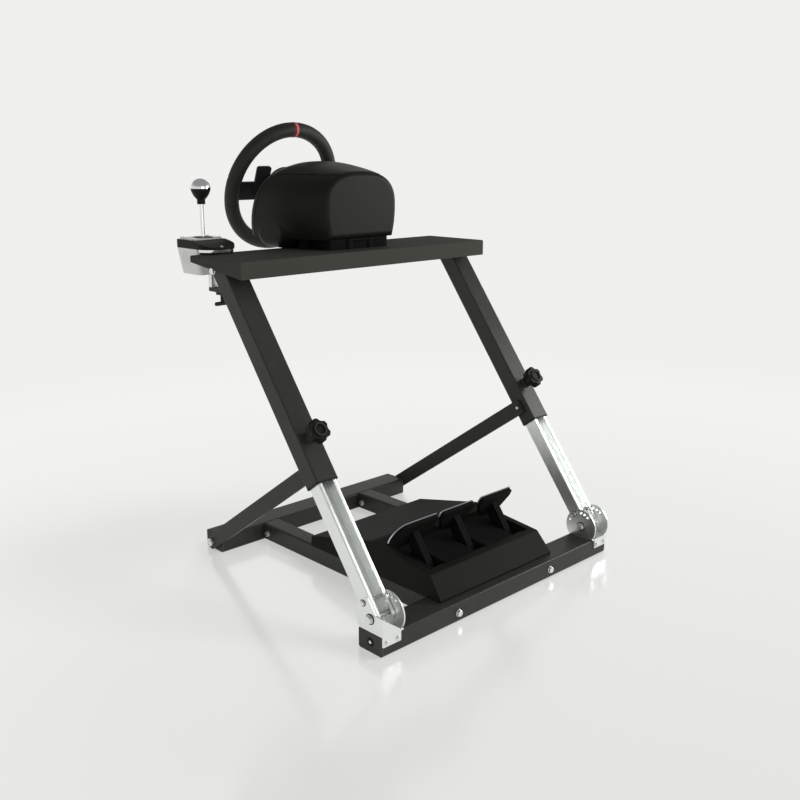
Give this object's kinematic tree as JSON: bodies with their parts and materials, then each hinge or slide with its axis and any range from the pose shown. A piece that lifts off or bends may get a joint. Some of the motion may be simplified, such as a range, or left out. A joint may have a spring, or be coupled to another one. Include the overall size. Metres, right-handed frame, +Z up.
{
  "type": "racing wheel stand with wheel, shifter and pedals",
  "caption": "Foldable steel sim-racing stand: floor frame, leaning telescopic legs and a sheet platform that carries a steering wheel and gear shifter above a pedal set",
  "frame": {"origin": "centre of the nose tube's underside on the floor, straight below the legs' pivots", "axes": "+Z up, +Y towards the nose away from the driver, +X to the driver's right"},
  "size_m": [0.6668, 0.7448, 0.8979],
  "materials": {
    "black_paint": "satin black powder coat",
    "silver_steel": "galvanised",
    "zinc": "zinc plated",
    "black_plastic": "fine grain",
    "wheel_grip": "perforated black with a red top mark",
    "dark_metal": "anodised black",
    "pale_plastic": "off-white",
    "chrome": "polished",
    "pedal_metal": "brushed"
  },
  "bodies": {
    "base_frame": {"nose_tube": "black_paint", "rear_tube": "black_paint", "rails": "black_paint", "tube_caps": "black_plastic", "leg_bracket_right": "silver_steel", "leg_bracket_left": "silver_steel", "leg_right": "silver_steel", "leg_left": "silver_steel", "leg_bolts": "zinc", "brace_foot_studs": "zinc", "pedal_housing": "black_plastic", "pedal_shaft": "dark_metal"},
    "upper_frame": {"sleeve_right": "black_paint", "sleeve_left": "black_paint", "guide_bushes": "black_plastic", "brace_studs": "black_paint", "platform": "black_paint", "base_housing": "black_plastic", "base_plinth": "black_plastic", "base_bezel": "black_plastic", "shifter_body": "pale_plastic", "shifter_band": "black_plastic", "shifter_foot_plate": "chrome", "shifter_foot_pad": "black_plastic", "gate_plate": "pale_plastic", "shifter_clamp": "zinc", "clamp_jaw": "dark_metal"},
    "brace_right": {"brace_right": "black_paint"},
    "brace_left": {"brace_left": "black_paint"},
    "steering_wheel": {"wheel_rim": "wheel_grip", "wheel_spokes": "dark_metal", "wheel_hub": "black_plastic", "shift_paddles": "dark_metal"},
    "height_knob_right": {"star_knob_right": "black_plastic"},
    "height_knob_left": {"star_knob_left": "black_plastic"},
    "clamp_screw": {"clamp_screw": "dark_metal"},
    "shift_cradle": {"shift_cradle": "dark_metal"},
    "shift_lever": {"shift_lever": "chrome", "shift_knob_cone": "black_plastic", "shift_knob_ball": "chrome"},
    "clutch_pedal": {"clutch_arm": "black_plastic", "clutch_plate": "pedal_metal"},
    "brake_pedal": {"brake_arm": "black_plastic", "brake_plate": "pedal_metal"},
    "throttle_pedal": {"throttle_arm": "black_plastic", "throttle_plate": "pedal_metal"}
  },
  "joints": [
    {"name": "height_slide", "type": "slide", "parent": "base_frame", "child": "upper_frame", "axis": [0, -0.599, 0.8007], "range_m": [-0.03, 0.06]},
    {"name": "brace_right_pivot", "type": "hinge", "parent": "upper_frame", "child": "brace_right", "pos_m": [0.274, -0.17552, 0.29161], "axis": [1, 0, 0], "range_deg": [-3.7, 7.3]},
    {"name": "brace_left_pivot", "type": "hinge", "parent": "upper_frame", "child": "brace_left", "pos_m": [-0.274, -0.17552, 0.29161], "axis": [1, 0, 0], "range_deg": [-3.7, 7.3]},
    {"name": "steering", "type": "hinge", "parent": "upper_frame", "child": "steering_wheel", "pos_m": [0, -0.644, 0.76], "axis": [0, -0.9311, 0.3649], "range_deg": [-450, 450]},
    {"name": "height_knob_right_turn", "type": "hinge", "parent": "upper_frame", "child": "height_knob_right", "pos_m": [0.303, -0.16745, 0.3526], "axis": [0, 0.8007, 0.599], "continuous": true},
    {"name": "height_knob_left_turn", "type": "hinge", "parent": "upper_frame", "child": "height_knob_left", "pos_m": [-0.303, -0.16745, 0.3526], "axis": [0, 0.8007, 0.599], "continuous": true},
    {"name": "clamp_screw_turn", "type": "hinge", "parent": "upper_frame", "child": "clamp_screw", "pos_m": [0.272, -0.487, 0.6], "axis": [0, 0, 1], "continuous": true},
    {"name": "shift_select", "type": "hinge", "parent": "upper_frame", "child": "shift_cradle", "pos_m": [0.272, -0.5475, 0.631], "axis": [0, 1, 0], "range_deg": [-7, 7], "stiffness_Nm_per_rad": 2},
    {"name": "shift_engage", "type": "hinge", "parent": "shift_cradle", "child": "shift_lever", "pos_m": [0.272, -0.5475, 0.631], "axis": [-1, 0, 0], "range_deg": [-10, 10]},
    {"name": "clutch_press", "type": "hinge", "parent": "base_frame", "child": "clutch_pedal", "pos_m": [-0.122, -0.072, 0.058], "axis": [-1, 0, 0], "range_deg": [0, 18], "stiffness_Nm_per_rad": 12, "springref_deg": -6.88},
    {"name": "brake_press", "type": "hinge", "parent": "base_frame", "child": "brake_pedal", "pos_m": [-0.006, -0.072, 0.058], "axis": [-1, 0, 0], "range_deg": [0, 18], "stiffness_Nm_per_rad": 24, "springref_deg": -6.88},
    {"name": "throttle_press", "type": "hinge", "parent": "base_frame", "child": "throttle_pedal", "pos_m": [0.11, -0.072, 0.058], "axis": [-1, 0, 0], "range_deg": [0, 18], "stiffness_Nm_per_rad": 9, "springref_deg": -6.88}
  ],
  "couplings": [
    {"joint": "brace_right_pivot", "follows": "height_slide", "rad_per_m": 2.103},
    {"joint": "brace_left_pivot", "follows": "height_slide", "rad_per_m": 2.103}
  ]
}
